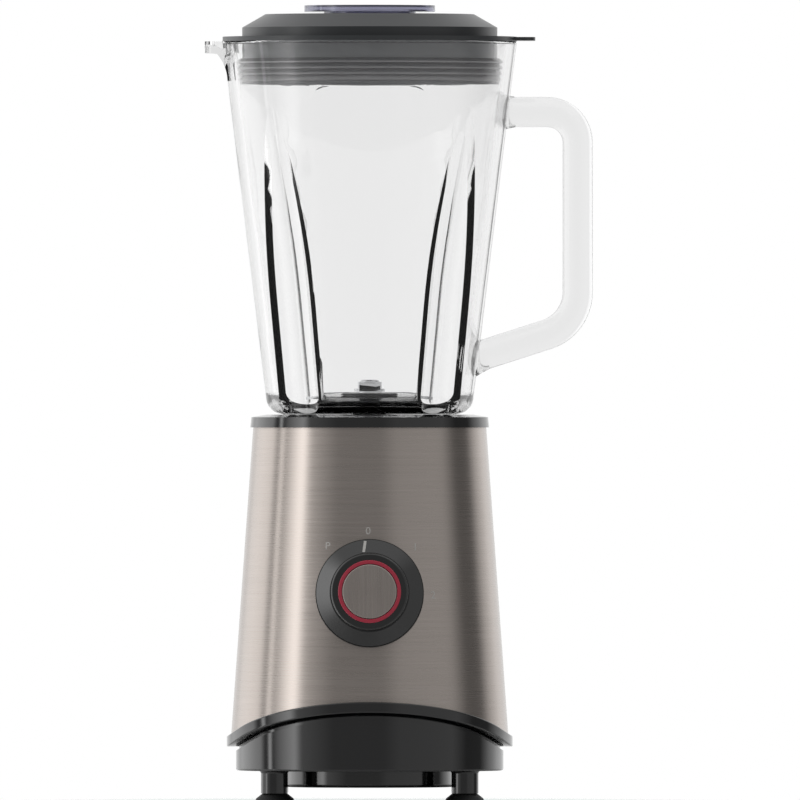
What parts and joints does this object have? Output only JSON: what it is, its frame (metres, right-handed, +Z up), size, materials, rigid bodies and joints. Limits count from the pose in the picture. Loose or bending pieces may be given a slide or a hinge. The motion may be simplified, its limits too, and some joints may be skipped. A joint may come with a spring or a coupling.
{
  "type": "countertop blender",
  "caption": "Countertop blender: tapered glass jar with spout, handle, blades, lid and cap on a conical steel motor base with a turning speed knob.",
  "frame": {"origin": "on the jar and motor axis at the level the feet stand on", "axes": "+Z up along the jar and motor axis, front with the knob towards -Y, spout towards -X, handle towards +X"},
  "size_m": [0.1898, 0.1496, 0.39],
  "materials": {
    "gloss_black": "gloss",
    "satin_black": "satin",
    "brushed_steel": "brushed",
    "red_trim": "gloss",
    "pale_mark": "matte",
    "rubber": "matte",
    "glass": "clear",
    "lid_plastic": "matte",
    "silicone": "satin",
    "tinted_plastic": "tinted clear",
    "blade_steel": "polished",
    "steel": "plain",
    "lamination": "matte",
    "copper": "enamelled",
    "cast_aluminium": "cast",
    "bronze": "plain",
    "carbon": "matte",
    "inner_plastic": "matte"
  },
  "bodies": {
    "base": {"base_housing": "gloss_black", "suction_feet": "rubber", "vent_hub": "gloss_black", "hub_screws": "steel", "lower_trim": "gloss_black", "body_sleeve": "brushed_steel", "cord_inlet": "satin_black", "top_deck": "gloss_black", "seat_pad": "rubber", "shaft_seal": "rubber", "tie_tubes": "inner_plastic", "tie_screws": "steel", "stator_core": "lamination", "field_coils": "copper", "upper_bracket": "cast_aluminium", "lower_bracket": "cast_aluminium", "motor_bushes": "bronze", "motor_screws": "steel", "motor_nuts": "steel", "motor_mounts": "rubber", "mount_screws": "steel", "brush_holders": "bronze", "carbon_brushes": "carbon", "rotary_switch": "inner_plastic", "switch_terminals": "steel", "knob_bezel": "satin_black", "switch_nut": "steel", "interlock_switch": "inner_plastic", "suppression_capacitor": "inner_plastic", "terminal_block": "inner_plastic"},
    "knob": {"knob_skirt": "satin_black", "knob_pointer": "pale_mark", "knob_body": "satin_black", "knob_ring": "red_trim", "knob_cap": "brushed_steel", "switch_shaft": "steel"},
    "rotor": {"motor_shaft": "steel", "armature_core": "lamination", "armature_windings": "copper", "commutator": "copper", "cooling_fan": "inner_plastic", "drive_coupling": "inner_plastic"},
    "jar": {"glass_jar": "glass", "jar_spout": "glass", "jar_handle": "glass", "blade_housing": "inner_plastic", "spindle_bushes": "bronze", "jar_seals": "silicone", "housing_nut": "inner_plastic"},
    "blades": {"blade_spindle": "blade_steel", "lower_blade": "blade_steel", "upper_blade": "blade_steel", "blade_spacers": "blade_steel", "blade_nut": "blade_steel", "driven_coupling": "inner_plastic"},
    "lid": {"jar_lid": "lid_plastic", "cap_seat": "lid_plastic", "lid_gasket": "silicone"},
    "cap": {"measuring_cap": "tinted_plastic"},
    "interlock": {"interlock_pin": "steel"}
  },
  "joints": [
    {"name": "knob_turn", "type": "hinge", "parent": "base", "child": "knob", "pos_m": [0, -0.06279, 0.1029], "axis": [0, 0.9974, -0.0715], "range_deg": [-45, 90]},
    {"name": "jar_lift", "type": "slide", "parent": "base", "child": "jar", "axis": [0, 0, 1], "range_m": [0, 0.06]},
    {"name": "lid_lift", "type": "slide", "parent": "jar", "child": "lid", "axis": [0, 0, 1], "range_m": [0, 0.04]},
    {"name": "cap_lift", "type": "slide", "parent": "lid", "child": "cap", "axis": [0, 0, 1], "range_m": [0, 0.05]},
    {"name": "rotor_spin", "type": "hinge", "parent": "base", "child": "rotor", "pos_m": [0, 0, 0.1085], "axis": [0, 0, 1], "continuous": true},
    {"name": "blade_spin", "type": "hinge", "parent": "jar", "child": "blades", "pos_m": [0, 0, 0.19], "axis": [0, 0, 1], "continuous": true},
    {"name": "interlock_rise", "type": "slide", "parent": "base", "child": "interlock", "axis": [0, 0, 1], "range_m": [0, 0.002]}
  ],
  "couplings": [
    {"joint": "blade_spin", "follows": "rotor_spin", "ratio": 1},
    {"joint": "interlock_rise", "follows": "jar_lift", "ratio": 0.033333}
  ]
}
